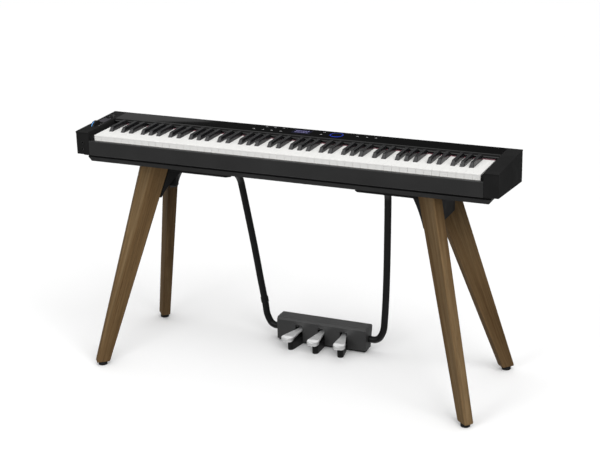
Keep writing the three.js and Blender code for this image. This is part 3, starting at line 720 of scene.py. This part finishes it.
# ---------------------------------------------------------------- controls on the left block
WHEEL_LO, WHEEL_HI = in_body("pitch_wheel")
WHEEL_X, WHEEL_Y = (WHEEL_LO.x + WHEEL_HI.x) / 2, (WHEEL_LO.y + WHEEL_HI.y) / 2
WHEEL_Z = 59                    # height of its axle
WHEEL_RADIUS = (WHEEL_HI.y - WHEEL_LO.y) / 2


def make_wheel():
    """The wheel on its axle, with a finger notch and fine grips round its rim."""
    r = WHEEL_RADIUS
    half = ((r, 4.6), (r - 0.4, 5.6), (r - 2.2, 6.3), (3, 6.3), (3, 9), (2.6, 9.3))
    profile = [(radius, -along) for radius, along in reversed(half)] + list(half)
    wheel = turned(profile, (WHEEL_X, WHEEL_Y, WHEEL_Z), "x", 96)
    cutter = bmesh.new()
    turned(((5, -10), (5, 10)), (WHEEL_X, WHEEL_Y, WHEEL_Z + r + 3.2), "x", 24, bm=cutter)
    for i in range(-9, 10):
        if abs(i) > 1:
            a = math.radians(90 + i * 8)
            y, z = WHEEL_Y + (r + 0.1) * math.cos(a), WHEEL_Z + (r + 0.1) * math.sin(a)
            turned(((0.7, -5), (0.7, 5)), (WHEEL_X, y, z), "x", 8, bm=cutter)
    piece("bend_wheel", carve(wheel, cutter), M["case"], "pitch_wheel", ("pitch_wheel",),
          angle=35)


def arc(radius, x0, x1, centre, first, last, thick, steps=24):
    """A thin curved strip in the plane across X."""
    y, z = centre
    rings = []
    for i in range(steps + 1):
        a = math.radians(first + (last - first) * i / steps)
        c, s = math.cos(a), math.sin(a)
        inner, outer = radius - thick, radius
        rings.append([(x0, y + inner * c, z + inner * s), (x1, y + inner * c, z + inner * s),
                      (x1, y + outer * c, z + outer * s), (x0, y + outer * c, z + outer * s)])
    return loft(rings)


def make_wheel_lights():
    """A lit line round the rim of the wheel, broken by its finger notch."""
    x = WHEEL_X - 1.8
    for name, first, last in (("front", 102, 150), ("rear", 68, 77)):
        strip = arc(WHEEL_RADIUS + 0.02, x - 0.5, x + 0.5, (WHEEL_Y, WHEEL_Z), first, last, 0.5)
        piece(f"wheel_light_{name}", strip, M["cyan"], "pitch_wheel")


KNOB_GRIPS = 20


def make_knob(node, name):
    """A small cap on its spindle, with a pointer line and fine grips round its side."""
    lo, hi = in_body(node)
    x, y, top = (lo.x + hi.x) / 2, (lo.y + hi.y) / 2, hi.z
    foot, radius = top_at(y) + 0.5, (hi.x - lo.x) / 2
    profile = ((1.8, foot - 11), (2, foot - 10.6), (2, foot), (radius, foot), (radius, top - 0.9),
               (radius - 0.8, top), (0.4, top))
    knob = turned(profile, (x, y, 0), "z", 48)
    cutter = brick((x - 0.45, x + 0.45), (y - radius - 1, y - 1.2), (top - 0.6, top + 2))
    for i in range(KNOB_GRIPS):
        grip = around((x, y, 0), "z", radius + 0.12, 0, 2 * math.pi * i / KNOB_GRIPS)
        turned(((0.42, foot + 1.2), (0.42, top + 1)), grip, "z", 6, bm=cutter)
    piece(name, carve(knob, cutter), M["block"], node, (node,), angle=35)


def make_power_button():
    lo, hi = in_body("power_button")
    x, y = (lo.x + hi.x) / 2, (lo.y + hi.y) / 2
    button = along_z(rounded(lo.x, hi.x, lo.y, hi.y, 1.6), hi.z - 6.2, hi.z)
    brick((x - 2, x + 2), (y - 1.5, y + 1.5), (lo.z, hi.z - 5), bm=button)
    piece("power_key", button, M["block"], "power_button", ("power_button",), soft=0.5)


def make_controls():
    make_wheel()
    make_wheel_lights()
    make_knob("outer_control_knob", "outer_knob_cap")
    make_knob("inner_control_knob", "inner_knob_cap")
    make_power_button()


# Pale dashes beside the controls: place from left to right, depth and half width.
BLOCK_DASHES = ((-656, 160, 1.4), (-641, 160, 1.4), (-634, 107, 1.4), (-634, 92, 1.4),
                (-634, 79, 1.4), (-656, 177, 1.2), (-641, 177, 1.2))


def make_block_marks():
    """A thin plate behind the wheel, the dashes and a line by the power switch."""
    plate = loft(on_top(rounded(-661, -635, 116, 156, 3, 4), 0.12))
    piece("control_plate", plate, M["plate"], angle=40)
    marks = bmesh.new()
    for x, y, half in BLOCK_DASHES:
        loft(on_top(rounded(x - half, x + half, y - 0.5, y + 0.5, 0.4, 2), 0.05), bm=marks)
    lo, hi = in_body("power_button")
    x, y = (lo + hi).xy / 2
    loft(on_top(rounded(x - 6, x + 6, y - 6.6, y - 5.8, 0.35, 2), 0.05), bm=marks)
    piece("block_marks", marks, M["print"])


def make_jacks():
    """Two round sockets: a collar, its sleeve, the body behind it and a bright contact inside."""
    for node, name in (("upper_phone_jack", "upper_jack"), ("lower_phone_jack", "lower_jack")):
        lo, hi = in_body(node)
        x, z, r = (lo.x + hi.x) / 2, (lo.z + hi.z) / 2, (hi.x - lo.x) / 2
        collar = hoop(r, 3.2, lo.y, lo.y + 0.95, (x, 0, z), "y", 40)
        hoop(5.0, 3.2, lo.y + 0.9, 11, (x, 0, z), "y", 40, bm=collar)
        brick((x - 5, x + 5), (10.5, hi.y), (z - 5, z + 5), bm=collar)
        piece(name, collar, M["case"], stands_for=(node,), angle=30)
        contact = hoop(3.3, 2.7, 2.0, 9.5, (x, 0, z), "y", 32)
        piece(f"{name}_contact", contact, M["steel"], angle=30)


# Sockets on the rear plate: distance from the plate's left end and radius.
REAR_SOCKETS = ((28, 5.5), (62, 4), (86, 4))


def make_rear_plate():
    lo, hi = in_body("rear_jack_plate")
    piece("socket_plate", cad_copy("rear_jack_plate"), M["case"],
          stands_for=("rear_jack_plate",), soft=0.25)
    middle = (lo.z + hi.z) / 2
    for i, (dx, r) in enumerate(REAR_SOCKETS):
        x = lo.x - SEAM + dx
        rim = hoop(r - 0.1, r - 1.3, hi.y - 1.4, hi.y - 0.1, (x, 0, middle), "y", 32)
        turned(((0.9, hi.y - 9.6), (0.9, hi.y - 2.4), (0.5, hi.y - 2)), (x, 0, middle), "y", 16, bm=rim)
        piece(f"socket_rim_{i + 1}", rim, M["steel"], angle=35)


# ---------------------------------------------------------------- inside the body
def make_insides():
    dress("key_frame", M["frame"], 0.3)
    dress("key_contact_board", M["circuit"])
    dress("main_board", M["circuit"])
    dress("left_speaker", M["speaker"], 0.5)
    dress("right_speaker", M["speaker"], 0.5)
    dress("pitch_wheel_bracket", M["frame"], 0.2)


# ---------------------------------------------------------------- stand
LEG_TOP_WIDE, LEG_FOOT_WIDE, LEG_THICK = 88.6, 42.4, 30
LEG_EDGE = 3.4                  # radius of its long edges
WOOD_SEEDS = {"front_left_leg": 1.3, "front_right_leg": 4.1, "rear_left_leg": 7.7, "rear_right_leg": 11.2}


def leg_ends(node):
    """Middle of the leg's top and foot, from the CAD node's own corners."""
    points = [v.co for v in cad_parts[node].data.vertices]
    high, low = max(p.z for p in points), min(p.z for p in points)
    ends = []
    for level in (high, low):
        ring = [p for p in points if abs(p.z - level) < 1e-5]
        ends.append(Vector(((min(p.x for p in ring) + max(p.x for p in ring)) / 2,
                            (min(p.y for p in ring) + max(p.y for p in ring)) / 2, level)))
    return ends


def make_leg(node, seed):
    """A tapered board with rounded edges. Its grain follows the lean."""
    top, foot = leg_ends(node)
    lean = top - foot
    flat = Vector((lean.x, lean.y, 0)).normalized()
    side = Vector((0, 0, 1)).cross(flat)
    axis = lean.normalized()
    across = side.cross(axis).normalized()
    rings = []
    for t in (0, 0.006, 0.2, 0.4, 0.6, 0.8, 1):
        shrink = 2.2 if t == 0 else 0
        wide = LEG_FOOT_WIDE + (LEG_TOP_WIDE - LEG_FOOT_WIDE) * t - shrink
        thick = LEG_THICK - shrink
        centre = foot + lean * t
        section = rounded(-wide / 2, wide / 2, -thick / 2, thick / 2, LEG_EDGE, 3)
        rings.append([tuple(centre + (flat * u + side * v) * MM) for u, v in section])
    wood = walnut(f"walnut_{node}", seed, foot, (across, side, axis))
    piece(node.replace("_leg", "_wood_leg"), loft(rings, in_metres), wood,
          stands_for=(node,), angle=50)


def make_glide(node):
    lo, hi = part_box(node)
    x, y = (lo.x + hi.x) / 2 / MM, (lo.y + hi.y) / 2 / MM
    r, top = (hi.x - lo.x) / 2 / MM, hi.z / MM
    profile = ((r - 1.6, 0), (r - 0.4, 0.5), (r, 1.6),
               (r, top - 2.4), (r - 0.5, top - 1.2), (r - 1.5, top))
    disc = turned(profile, (x, y, 0), "z", 40, on_floor)
    piece(node.replace("_glide", "_foot_pad"), disc, M["rubber"],
          stands_for=(node,), angle=50)


def spline(points, steps):
    """A smooth Catmull-Rom path through the points."""
    padded = [points[0] * 2 - points[1], *points, points[-1] * 2 - points[-2]]
    path = []
    for a, b, c, d in zip(padded, padded[1:], padded[2:], padded[3:]):
        for i in range(steps):
            t = i / steps
            path.append(0.5 * ((2 * b) + (c - a) * t + (2 * a - 5 * b + 4 * c - d) * t * t
                               + (3 * b - a - 3 * c + d) * t ** 3))
    return path + [points[-1]]


def pipe(path, radius, sides=28):
    """A round tube along the path, with frames that don't twist."""
    normal = Vector((0, 1, 0))
    rings = []
    for i, point in enumerate(path):
        tangent = (path[min(i + 1, len(path) - 1)] - path[max(i - 1, 0)]).normalized()
        normal = (normal - tangent * normal.dot(tangent)).normalized()
        other = tangent.cross(normal)
        rings.append([tuple(point + (normal * math.cos(a) + other * math.sin(a)) * radius)
                      for a in (2 * math.pi * k / sides for k in range(sides))])
    return loft(rings, in_metres)


# Middle line of an arm from the tray down to the pedal housing.
ARM_ROUTE = ((252, 53, 646), (252, 62, 622), (250.5, 84, 592), (248, 111, 560), (244.8, 121.4, 520),
             (234.7, 143.4, 400), (226.3, 160.2, 300), (217.8, 174.1, 200), (209.5, 184.5, 120),
             (204.5, 186.5, 78), (192, 186, 51), (178, 184.4, 42), (168, 184, 41), (155.9, 184, 41))
PIPE_RADIUS = 11
COLLAR_HEIGHT = 0.130
COLLAR_PROFILE = ((11.2, -9.5), (12.0, -9.2), (12.7, -8.2), (12.7, -1.1), (12.2, -0.6),
                  (12.2, 0.6), (12.7, 1.1), (12.7, 8.2), (12.0, 9.2), (11.2, 9.5))


def make_arm(side, name):
    """A bent pipe with a flange under the tray. Only the left one has a collar."""
    path = spline([on_floor(side * x, y, z) for x, y, z in ARM_ROUTE], 8)
    bm = pipe(path, PIPE_RADIUS * MM)
    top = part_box(f"{name}_arm")[1].z / MM
    x0, x1 = sorted((side * 228, side * 276))
    flange = along_z(rounded(x0, x1, 32, 66, 6), top - 5, top, on_floor)
    low = [e for e in flange.edges if all(v.co.z < (top - 4.9) * MM for v in e.verts)]
    bmesh.ops.bevel(flange, geom=low, offset=1.2 * MM, segments=2, profile=0.5, affect="EDGES")
    piece(f"{name}_pipe_arm", bm, M["arm"], stands_for=(f"{name}_arm",), angle=50)
    piece(f"{name}_arm_flange", flange, M["arm"], angle=40)
    if side < 0:
        near = min(range(len(path)), key=lambda i: abs(path[i].z - COLLAR_HEIGHT))
        sleeve = collar(path[near], path[near + 1] - path[near - 1])
        piece(f"{name}_arm_collar", sleeve, M["arm"], angle=40)


def collar(centre, ahead):
    """A two-part sleeve round the pipe."""
    ahead = ahead.normalized()
    normal = ahead.cross(Vector((0, 1, 0))).normalized()
    other = ahead.cross(normal)
    turns = [2 * math.pi * i / 40 for i in range(40)]
    spokes = [normal * math.cos(a) + other * math.sin(a) for a in turns]
    rings = []
    for radius, along in COLLAR_PROFILE:
        rings.append([tuple(centre + (ahead * along + spoke * radius) * MM) for spoke in spokes])
    return loft(rings, in_metres)


# Bolts under each casting, as (distance from the middle, depth), and the profile of their heads.
BRACKET_BOLTS = ((225, -22.5), (300, -38), (300, -7), (385, -22.5))
BRACKET_FLANGE = 34             # height of the flange that the bolts go through
BOLT_HEAD = ((0.4, 0.3), (5, 0.3), (5.6, -0.4), (5.2, -2.6), (3.0, -3.0), (2.6, -1.2), (0.3, -1.2))


def make_bracket(name, side):
    piece(f"{name}_stand_casting", cad_copy(f"{name}_leg_bracket"), M["cast"],
          stands_for=(f"{name}_leg_bracket",), soft=1.0)
    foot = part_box(f"{name}_leg_bracket")[1].z / MM - BRACKET_FLANGE
    for i, (x, y) in enumerate(BRACKET_BOLTS):
        head = turned(BOLT_HEAD, (side * x, y, foot), "z", 28, on_floor)
        piece(f"{name}_bracket_bolt_{i + 1}", head, M["steel"], angle=40)


def make_stand():
    for node, seed in WOOD_SEEDS.items():
        make_leg(node, seed)
        make_glide(node.replace("_leg", "_glide"))
    for side, name in ((-1, "left"), (1, "right")):
        make_bracket(name, side)
        make_arm(side, name)


# ---------------------------------------------------------------- pedals
PEDAL_SPLAY = 10                # degrees that the outer pedals turn outwards
PEDAL_SPACING = 71.4
SHAFT_Y, SHAFT_Z = 194, 47

# Cross-sections of a pedal: place towards the player, half width, underside and top.
PEDAL_SECTIONS = ((187.2, 10.0, 43.0, 51.0), (152, 10.0, 43.0, 51.0), (140, 11.7, 43.0, 51.0),
                  (128, 13.7, 43.0, 51.0), (116, 15.8, 43.0, 51.0), (106, 17.5, 43.0, 51.0),
                  (99, 18.7, 43.0, 51.0), (96, 19.2, 42.2, 51.0), (93.5, 19.6, 40.0, 51.0),
                  (91, 19.9, 38.2, 51.0), (87, 19.7, 37.5, 51.0), (83, 18.8, 37.5, 51.0),
                  (79, 17.4, 37.5, 51.0), (76.5, 15.7, 37.6, 51.0), (74.3, 13.5, 37.9, 50.8),
                  (72.4, 10.8, 38.4, 50.4), (71.2, 7.6, 39.3, 49.7), (70.6, 4.4, 40.6, 48.6))


def make_pedal(node, index):
    """A plate with a thick nose, on a bored barrel that turns on the shaft."""
    shaft_x = (index - 1) * PEDAL_SPACING
    turn = math.radians((index - 1) * PEDAL_SPLAY)

    def placed(u, y, z):
        back = y - SHAFT_Y
        return on_floor(shaft_x + u * math.cos(turn) - back * math.sin(turn),
                        SHAFT_Y + u * math.sin(turn) + back * math.cos(turn), z)

    rings = []
    for y, half, low, high in PEDAL_SECTIONS:
        outline = rounded(-half, half, low, high, min(2.6, half * 0.45, (high - low) * 0.45), 5)
        rings.append([(u, y, z) for u, z in outline])
    lever = loft(rings, placed)
    hoop(9, 4.5, -10, 10, (shaft_x, SHAFT_Y, SHAFT_Z), "x", 36, on_floor, bm=lever)
    piece(f"{node}_lever", lever, M["chrome"], node, (node,), angle=50)


def make_pedal_unit():
    piece("pedal_box", cad_copy("pedal_housing"), M["box"],
          stands_for=("pedal_housing",), soft=0.7)
    piece("pedal_floor", cad_copy("pedal_base"), M["case"],
          stands_for=("pedal_base",), soft=0.8)
    dress("pedal_shaft", M["steel"], 0.3)
    for index, node in enumerate(("left_pedal", "middle_pedal", "right_pedal")):
        make_pedal(node, index)


# ---------------------------------------------------------------- camera, floor and light
CAMERA_AT = Vector((1.7067, -3.8224, 1.9350))
CAMERA_YAW, CAMERA_PITCH, CAMERA_ROLL = 24.0146, -19.7428, -1.4004
CAMERA_LENS = 87.39

# Brightness of the room by the height of the direction, and of what gloss mirrors.
ROOM = ((-1, 0.12), (-0.02, 0.10), (0.05, 0.10), (0.35, 0.30), (0.65, 0.95), (1, 1.35))
MIRRORED = ((-1, 1.0), (-0.8, 0.7), (-0.65, 0.08), (-0.25, 0.06), (0.0, 0.03), (0.36, 0.026), (0.395, 0.7),
            (0.46, 0.7), (0.55, 0.22), (1, 0.3))
# Bright screens that gloss mirrors: the way they lie, where they start and end, and their brightness.
SCREENS = (((-0.1875, 0.2224, -0.9568), -0.0004, 0.0004, 0.235), ((-0.20, -0.72, 0.66), 0.86, 0.94, 2.2))
# Strength, the way towards it and its spread in degrees.
SUN = (1.15, (0.56, -0.39, 0.74), 40)
FLOOR_REACH = 30


def make_camera():
    data = bpy.data.cameras.new("camera")
    data.lens, data.sensor_width, data.clip_end = CAMERA_LENS, 36, 60
    camera = add_object("camera", data)
    yaw = Matrix.Rotation(math.radians(CAMERA_YAW), 4, "Z")
    pitch = Matrix.Rotation(math.radians(90 + CAMERA_PITCH), 4, "X")
    roll = Matrix.Rotation(math.radians(CAMERA_ROLL), 4, "Z")
    camera.matrix_world = Matrix.Translation(CAMERA_AT) @ yaw @ pitch @ roll
    bpy.context.scene.camera = camera


def sky(nodes, links, height, stops):
    """A background whose brightness follows the height of the direction, from -1 to 1."""
    ramp = nodes.new("ShaderNodeValToRGB")
    fill_ramp(ramp, [((z + 1) / 2, shade(value)) for z, value in stops])
    links.new(height, ramp.inputs["Fac"])
    return ramp.outputs["Color"]


def towards(nodes, links, direction, axis, start, end, value):
    """Brightness that rises from 0 to value as the direction turns towards the axis."""
    dot = nodes.new("ShaderNodeVectorMath")
    dot.operation = "DOT_PRODUCT"
    dot.inputs[1].default_value = axis
    links.new(direction, dot.inputs[0])
    span = nodes.new("ShaderNodeMapRange")
    for socket, number in (("From Min", start), ("From Max", end), ("To Min", 0), ("To Max", value)):
        span.inputs[socket].default_value = number
    links.new(dot.outputs["Value"], span.inputs["Value"])
    return span.outputs["Result"]


def make_world():
    """White to the eye. What lights the object is a dim room with a broad soft ceiling, and what its
    gloss mirrors is darker still, with two pale screens."""
    world = bpy.data.worlds.new("studio")
    bpy.context.scene.world = world
    world.use_nodes = True
    nodes, links = world.node_tree.nodes, world.node_tree.links
    seen = nodes["Background"]
    seen.inputs["Color"].default_value = (1, 1, 1, 1)
    place = nodes.new("ShaderNodeTexCoord")
    direction = place.outputs["Generated"]
    split = nodes.new("ShaderNodeSeparateXYZ")
    links.new(direction, split.inputs["Vector"])
    height = nodes.new("ShaderNodeMapRange")
    height.inputs["From Min"].default_value = -1
    links.new(split.outputs["Z"], height.inputs["Value"])
    room = sky(nodes, links, height.outputs["Result"], ROOM)
    mirrored = sky(nodes, links, height.outputs["Result"], MIRRORED)
    for axis, start, end, value in SCREENS:
        add = nodes.new("ShaderNodeVectorMath")
        links.new(mirrored, add.inputs[0])
        links.new(towards(nodes, links, direction, axis, start, end, value), add.inputs[1])
        mirrored = add.outputs["Vector"]
    path = nodes.new("ShaderNodeLightPath")
    lights = []
    for colour in (room, mirrored):
        background = nodes.new("ShaderNodeBackground")
        links.new(colour, background.inputs["Color"])
        lights.append(background.outputs["Background"])
    gloss, view = nodes.new("ShaderNodeMixShader"), nodes.new("ShaderNodeMixShader")
    links.new(path.outputs["Is Glossy Ray"], gloss.inputs["Fac"])
    links.new(lights[0], gloss.inputs[1])
    links.new(lights[1], gloss.inputs[2])
    links.new(path.outputs["Is Camera Ray"], view.inputs["Fac"])
    links.new(gloss.outputs["Shader"], view.inputs[1])
    links.new(seen.outputs["Background"], view.inputs[2])
    links.new(view.outputs["Shader"], nodes["World Output"].inputs["Surface"])


def make_floor():
    corners = ((-1, -1), (1, -1), (1, 1), (-1, 1))
    bm = bmesh.new()
    bm.faces.new([bm.verts.new((x * FLOOR_REACH, y * FLOOR_REACH, 0)) for x, y in corners])
    mesh = bpy.data.meshes.new("floor")
    bm.to_mesh(mesh)
    bm.free()
    floor = add_object("floor", mesh)
    m = Nodes("pale_floor", Specular_IOR_Level=0.0)
    m.colour(m.ramp(m.noise(0.8), (0.3, shade(0.855)), (0.7, shade(0.865))))
    m.roughness(m.span(m.noise(3), 0.85, 0.95))
    mesh.materials.append(m.material)
    floor.visible_glossy = floor.visible_diffuse = False


def area(name, place, aim, size, power):
    """A soft box that lights the object but isn't mirrored in it."""
    data = bpy.data.lights.new(name, "AREA")
    data.shape, data.size, data.size_y, data.energy = "RECTANGLE", size[0], size[1], power
    light = add_object(name, data)
    light.location = place
    light.rotation_mode = "QUATERNION"
    light.rotation_quaternion = (Vector(aim) - Vector(place)).to_track_quat("-Z", "Y")
    light.visible_camera = light.visible_glossy = False
    return light


def make_lights():
    strength, towards_it, spread = SUN
    data = bpy.data.lights.new("key_light", "SUN")
    data.energy, data.angle = strength, math.radians(spread)
    key = add_object("key_light", data)
    key.rotation_mode = "QUATERNION"
    key.rotation_quaternion = (-Vector(towards_it)).to_track_quat("-Z", "Y")
    key.visible_glossy = False
    area("right_box", (2.0, -1.9, 1.2), (0.3, 0, 0.4), (0.8, 0.8), 10)
    area("front_box", (-0.5, -2.4, 1.0), (-0.1, 0, 0.6), (1.0, 0.8), 22)


make_camera()
make_world()
make_floor()
make_lights()
bpy.context.scene.view_settings.view_transform = "Standard"
make_keyboard()
make_panel()
make_display()
make_touch_marks()
make_blocks()
make_rail()
make_case()
make_controls()
make_block_marks()
make_jacks()
make_rear_plate()
make_insides()
make_stand()
make_pedal_unit()
